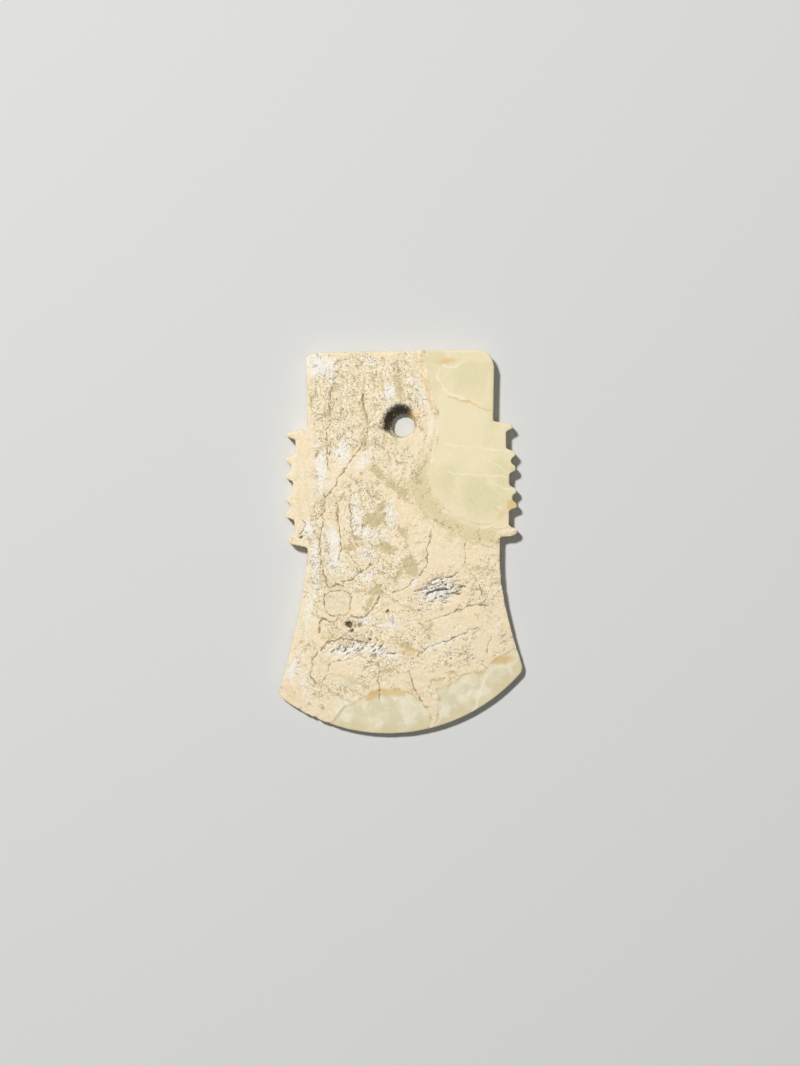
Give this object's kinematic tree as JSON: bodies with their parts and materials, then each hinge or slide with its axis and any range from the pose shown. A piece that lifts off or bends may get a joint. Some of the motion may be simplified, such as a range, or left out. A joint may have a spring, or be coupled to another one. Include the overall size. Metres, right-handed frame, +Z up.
{
  "type": "jade axe head",
  "caption": "Flat ceremonial axe head of weathered jade, with a curved cutting edge, a toothed flange on each side and a drilled hole near the butt, lying on its underside.",
  "frame": {"origin": "middle of the bounding box, on the underside", "axes": "+X to the right and +Y towards the butt, seen from above with the blade lying flat; +Z up, out of the upper face"},
  "size_m": [0.0826, 0.13, 0.006],
  "materials": {
    "weathered_jade": "weathered jade, chalky and stained in places, polished where it is still green"
  },
  "bodies": {
    "root": {"axe_head": "weathered_jade"}
  },
  "joints": []
}
